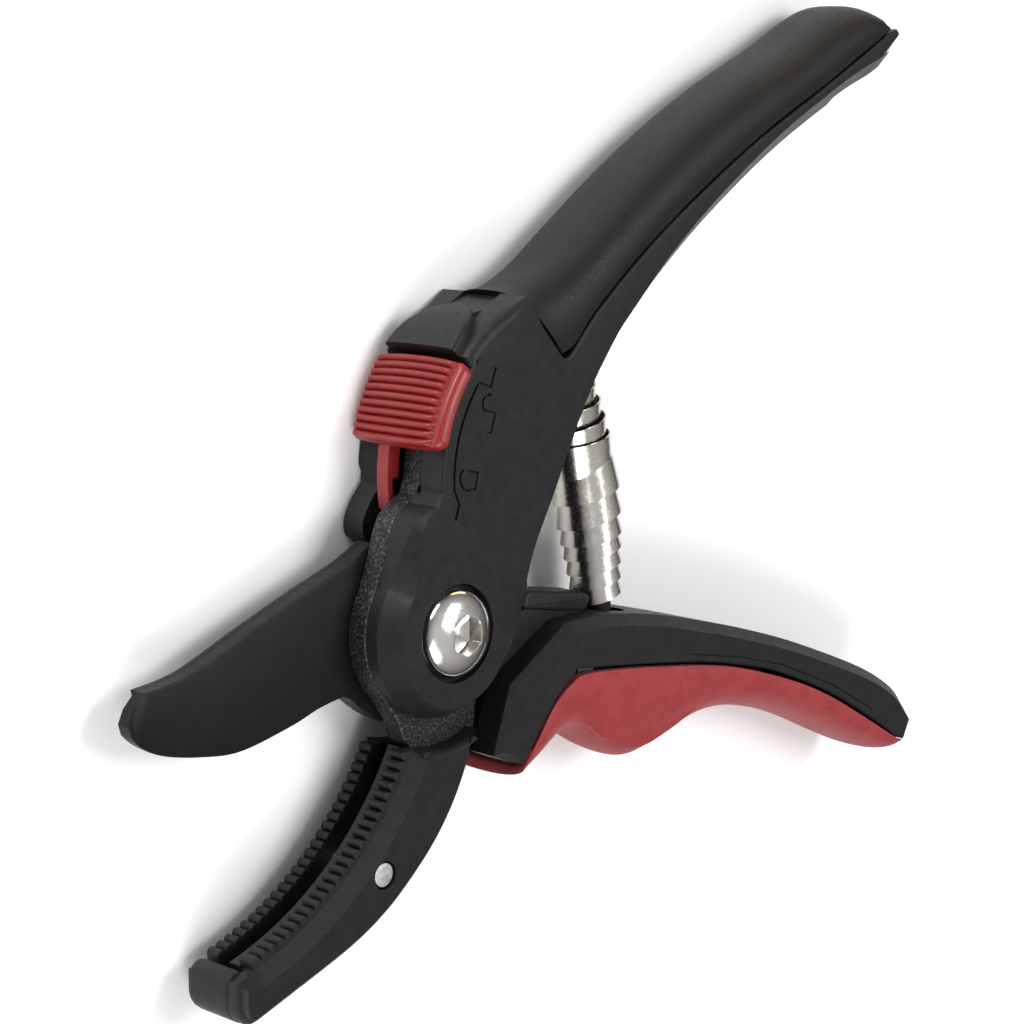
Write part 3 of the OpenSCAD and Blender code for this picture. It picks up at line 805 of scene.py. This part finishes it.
def spring_frame():
    """Unit vectors along the spring and across it, in the plane the blade turns in."""
    along = (spring_high - spring_low) / np.linalg.norm(spring_high - spring_low)
    side = np.cross((0, 0, 1), along)
    return along, side


def along_spring(profile, from_top=False):
    """A round solid on the spring's line, through (radius, distance) pairs."""
    along, side = spring_frame()
    origin = spring_high if from_top else spring_low
    rings = []
    for r, d in profile:
        rings.append([tuple(origin + along * d + r * (math.cos(a) * side + math.sin(a) * np.array([0, 0, 1])))
                      for a in np.linspace(0, 2 * math.pi, 48, endpoint=False)])
    return loft(rings)


def volute():
    """One strip wound into a double volute: the middle turns are the widest and lap over their neighbours."""
    along, side = spring_frame()
    up = np.array([0, 0, 1.0])
    length = np.linalg.norm(spring_high - spring_low)
    # Where each turn's exposed band starts along the spring, and the radius of the strip there.
    band_at = [0, 2.8, 5.5, 8.2, 11, 13.4, 17.8, 22.4, 28, 30.8, 34.5, 37.2, length]
    band_r = [3.9, 4.1, 4.35, 4.6, 4.9, 5.2, 5.55, 5.8, 5.35, 4.9, 4.45, 4.0, 3.6]
    widest, gauge, lap, steps, bow, cone = 7.4, 0.28, 1.3, 72, 0.7, 0.85
    last = len(band_at) - 2
    rings = []
    for i in range(last * steps + 1):
        turn = i / steps
        a = 2 * math.pi * turn - 2.2
        bottom, top = np.interp([turn, turn + 1], range(last + 2), band_at)
        r = np.interp(turn, range(last + 2), band_r)
        rising = 1 / (1 + math.exp(-4 * (turn - widest)))
        bottom = max(bottom - lap * rising, 0.05)
        top = min(top + lap * (1 - rising), length - 0.05)
        ring = []
        for dr, place in ((0, bottom), (0.04, (bottom + top) / 2), (0, top), (-gauge, top), (-gauge, bottom)):
            flare = cone * (0.5 - rising) * (1 - 2 * (place - bottom) / (top - bottom))
            shift = bow * math.sin(math.pi * place / length)
            ring.append(tuple(spring_low + along * place - side * shift
                              + (r + dr + flare) * (math.cos(a) * side + math.sin(a) * up)))
        rings.append(ring)
    piece = put("volute_spring_strip", [loft(rings)], None, SPRING, ["volute_spring"],
                fuse=False, sharp=40)
    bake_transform(piece)
    return piece


# ---- lock slider -----------------------------------------------------------

slider_from, slider_to = 93.0, 124.2  # degrees round the track's centre
rib_z = (6.7, 9.2)
rib_r = 28.4


def slider():
    """Thumb slider: a crowned block with rounded ridges, a rib in the track and a tongue."""
    low, high = (p.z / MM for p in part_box("lock_slider"))
    middle, half = (low + high) / 2, (high - low) / 2
    base, valley, ridge, ridges = 26.75, 28.35, 0.9, 11
    corner, shoulder, border = 1.7, 0.8, 1.9
    steps, across = 240, 46
    rings = []
    for i in range(steps + 1):
        s = i / steps
        from_end = min(s, 1 - s) * math.radians(slider_to - slider_from) * 29
        pull = corner - math.sqrt(max(0.0, corner ** 2 - max(corner - from_end, 0) ** 2))
        lift = math.sqrt(max(0.0, 1 - max(1 - from_end / 0.7, 0) ** 2))
        z0, z1 = low + pull * 0.6, high - pull
        phase = (s - 0.03) / 0.94 * ridges
        wave = abs(math.sin(math.pi * phase)) ** 0.7 if 0 < phase < ridges else 0
        ring = []
        for t in np.linspace(0, 1, across):
            z = z0 + (z1 - z0) * t
            u = (z - middle) / half
            edge = min(z - z0, z1 - z)
            drop = shoulder * (1 - math.sqrt(max(0.0, 1 - max(1 - edge / shoulder, 0) ** 2)))
            fade = min(1, max(0, (z - low - 0.4) / 0.8)) * min(1, max(0, (high - border - z) / 0.7))
            rim = 0.25 * min(1, max(0, (z - high + border) / 0.5))
            r = base + (valley - base + 0.85 * (1 - u * u) + ridge * wave * fade + rim) * (0.35 + 0.65 * lift)
            ring.append((z, r - drop * 1.2, u))
        ring = [(z0, base, -1)] + ring + [(z1, base, 1)]
        turned = []
        for z, r, u in ring:
            spread = (slider_to - slider_from) * (1 - 0.06 * u ** 4)
            a = math.radians((slider_from + slider_to) / 2 + (s - 0.5) * spread)
            turned.append((track_c[0] + r * math.cos(a), track_c[1] + r * math.sin(a), z))
        rings.append(turned)
    rib_start, rib_end, tongue_end, soft = slider_from + 1.5, 135, 145, 0.15
    rib = slab(arc(track_c, rib_r, rib_start, rib_end, 30) + arc(track_c, 25.9, rib_end, rib_start, 30),
               *rib_z, soft, soft)
    tongue = slab(arc(track_c, rib_r, 134, tongue_end, 12) + arc(track_c, 27.2, tongue_end, 134, 12),
                  *rib_z, soft, soft)
    return put("lock_slider_button", [loft(rings), rib, tongue], LOCK, RED, ["lock_slider"],
               sharp=48)


# ---- floor, light and camera -----------------------------------------------

def plain(name, color, rough=0.9):
    """A material of one colour."""
    material = bpy.data.materials.new(name)
    material.use_nodes = True
    shader = material.node_tree.nodes["Principled BSDF"]
    shader.inputs["Base Color"].default_value = (*color, 1)
    shader.inputs["Roughness"].default_value = rough
    return material


def floor():
    size, z = 4.0, -0.0002
    corners = [(-size, -size, z), (size, -size, z), (size, size, z), (-size, size, z)]
    mesh = bpy.data.meshes.new("floor")
    mesh.from_pydata(corners, [], [(0, 1, 2, 3)])
    obj = bpy.data.objects.new("floor", mesh)
    bpy.context.scene.collection.objects.link(obj)
    mesh.materials.append(plain("floor_pale", (0.93, 0.93, 0.93)))


# The camera's axes in the frame.
camera_right = Vector((0.48674, -0.48674, 0.72537))
camera_up = Vector((0.78543, 0.60730, -0.11953))
camera_back = Vector((-0.38234, 0.62791, 0.67790))


def light(name, place, size, power, color=(1, 1, 1), aim=(0.03, -0.02, 0.01)):
    """An area light that faces a point on the object.

    place is in metres along the camera's right, up and back, and no light goes below lowest.
    """
    lowest = 0.05
    data = bpy.data.lights.new(name, "AREA")
    data.shape = "RECTANGLE"
    data.size, data.size_y = size
    data.energy = power
    data.color = color
    obj = bpy.data.objects.new(name, data)
    bpy.context.scene.collection.objects.link(obj)
    at = Vector(aim) + camera_right * place[0] + camera_up * place[1] + camera_back * place[2]
    at.z = max(at.z, lowest)
    obj.location = at
    obj.rotation_euler = (Vector(aim) - at).to_track_quat("-Z", "Y").to_euler()


def studio():
    """Soft boxes over a dim room, so that the bright metal has something dark to reflect."""
    world = bpy.data.worlds.new("studio")
    world.use_nodes = True
    tree = world.node_tree
    place = tree.nodes.new("ShaderNodeTexCoord")
    split = tree.nodes.new("ShaderNodeSeparateXYZ")
    ramp = tree.nodes.new("ShaderNodeValToRGB")
    ramp.color_ramp.elements[0].position = 0.05
    ramp.color_ramp.elements[0].color = (0.03, 0.03, 0.032, 1)
    ramp.color_ramp.elements[1].position = 0.9
    ramp.color_ramp.elements[1].color = (0.6, 0.6, 0.6, 1)
    tree.links.new(place.outputs["Generated"], split.inputs["Vector"])
    tree.links.new(split.outputs["Z"], ramp.inputs["Fac"])
    tree.links.new(ramp.outputs["Color"], tree.nodes["Background"].inputs["Color"])
    tree.nodes["Background"].inputs["Strength"].default_value = 1.0
    bpy.context.scene.world = world
    light("key", (-0.45, 0.7, 0.45), (0.55, 0.4), 11)
    light("side", (0.8, 0.2, 0.5), (0.35, 0.6), 5.5)
    light("fill", (0.3, -1.3, 1.2), (1.2, 1.0), 22)
    light("warm", (0.25, 0.75, -0.35), (0.5, 0.25), 1.1, (1.0, 0.70, 0.40))
    bpy.context.scene.view_settings.view_transform = "Standard"


def camera():
    data = bpy.data.cameras.new("camera")
    data.sensor_width, data.lens = 36, 87.9
    data.clip_start, data.clip_end = 0.01, 20
    obj = bpy.data.objects.new("camera", data)
    bpy.context.scene.collection.objects.link(obj)
    place = Vector((-131.77, 255.55, 291.16)) * MM
    axes = Matrix((camera_right, camera_up, camera_back)).transposed()
    obj.matrix_world = Matrix.Translation(place) @ axes.to_4x4()
    bpy.context.scene.camera = obj


# ---- the scene -------------------------------------------------------------

upper_body()
dome()
upper_grip()
lower_body()
lower_grip()
bumper()
core_plate()
near_cover()
far_cover()
rivet()
blade()
bolt()
volute()
slider()

for node, material in {"plate_pins": PIN, "blade_pins": PIN, "bolt_washer": PIN, "pivot_sleeve": PIN,
                       "thrust_washer": BRONZE, "pivot_nut": BRIGHT, "upper_spring_seat": NYLON,
                       "detent_spring": PIN, "lower_spring_seat": NYLON}.items():
    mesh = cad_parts[node].data
    mesh.materials.clear()
    mesh.materials.append(material)

floor()
studio()
camera()
